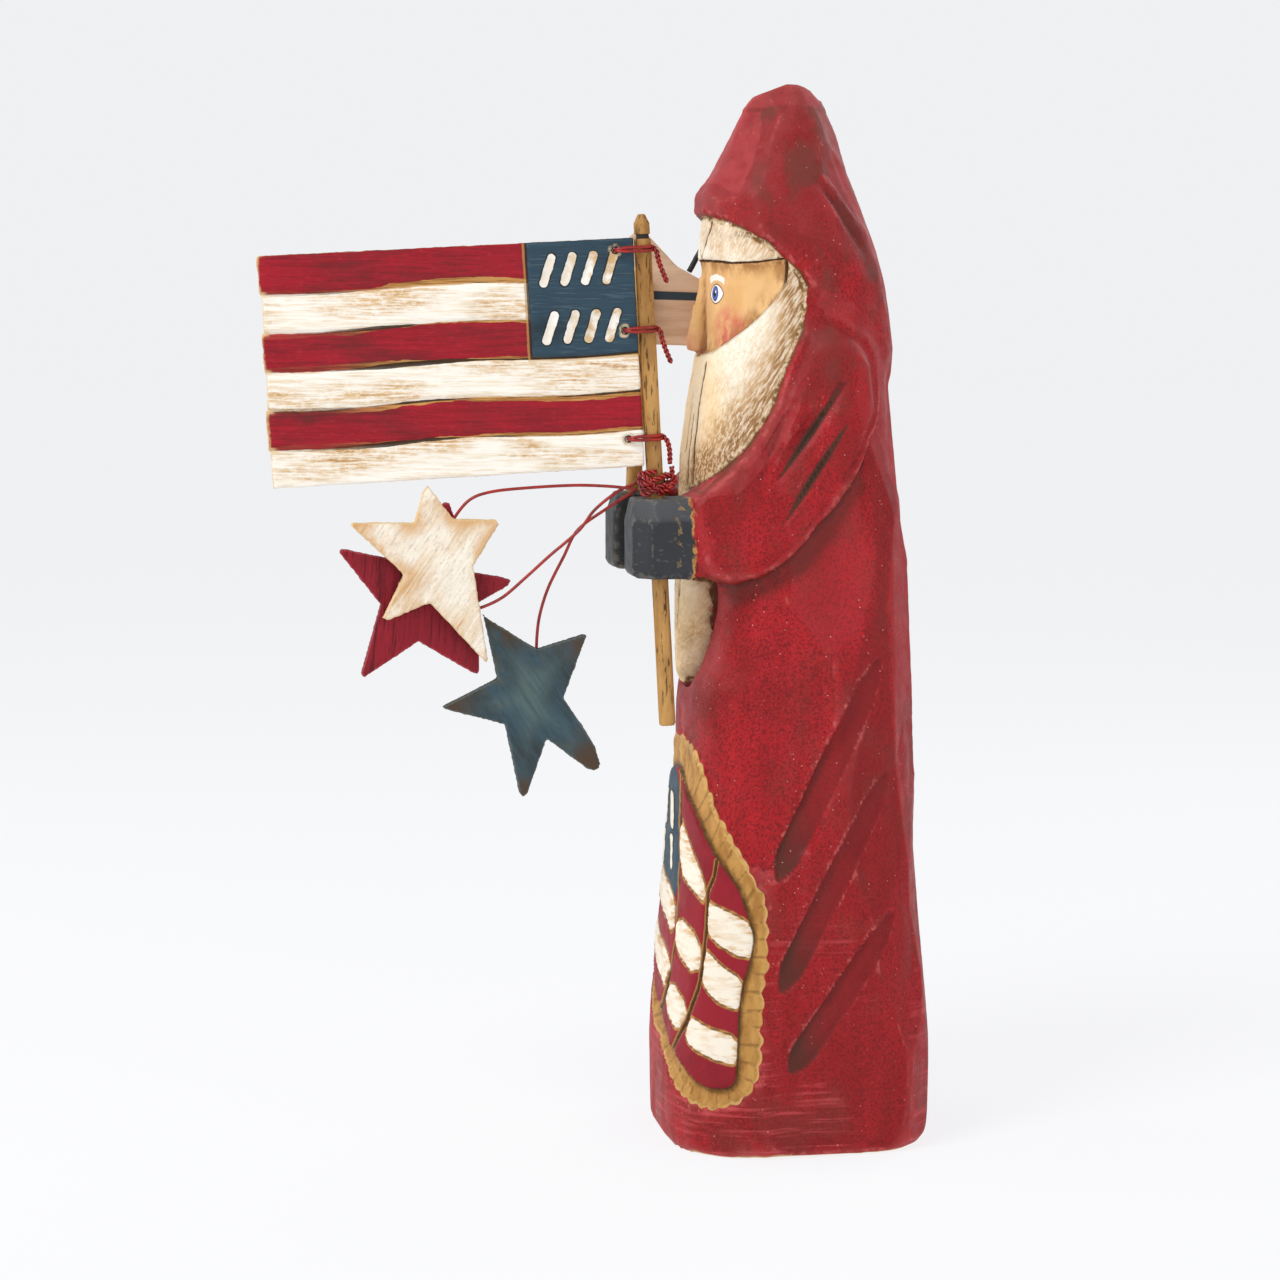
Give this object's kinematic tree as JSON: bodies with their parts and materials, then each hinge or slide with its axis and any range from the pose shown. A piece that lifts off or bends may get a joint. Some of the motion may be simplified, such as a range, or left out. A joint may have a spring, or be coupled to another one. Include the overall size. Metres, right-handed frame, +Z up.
{
  "type": "carved santa figure",
  "caption": "Hand-carved wooden santa in a long hooded robe, holding a flag on a stick with wired flat stars and a second stick with a bare board.",
  "frame": {"origin": "centre of the figure's underside, on the surface it stands on", "axes": "+Z up through the hood, -Y the way the figure faces, +X its own left side"},
  "size_m": [0.0792, 0.1929, 0.304],
  "materials": {
    "robe_paint": "carved wood, painted and antiqued with brown glaze, satin",
    "stick_wood": "golden stained dowel with short dark flecks",
    "flag_paint": "painted stripes of red and cream and a slate canton, antiqued",
    "bare_board": "bare pale wood with a painted slate band",
    "black_paint": "black painted wood",
    "white_star_paint": "cream paint rubbed through to ochre",
    "red_star_paint": "dark red paint",
    "blue_star_paint": "slate blue paint with brown glaze",
    "red_wire": "red coated craft wire"
  },
  "bodies": {
    "root": {"carved_figure": "robe_paint", "flag_pole": "stick_wood", "flag_board": "flag_paint", "far_staff": "stick_wood", "house_board": "bare_board", "black_peg": "black_paint", "star_white": "white_star_paint", "star_red": "red_star_paint", "star_blue": "blue_star_paint", "star_wire_white": "red_wire", "star_wire_red": "red_wire", "star_wire_blue": "red_wire", "tie_wire_top": "red_wire", "tie_wire_middle": "red_wire", "tie_wire_bottom": "red_wire", "wire_bundle": "red_wire"}
  },
  "joints": []
}
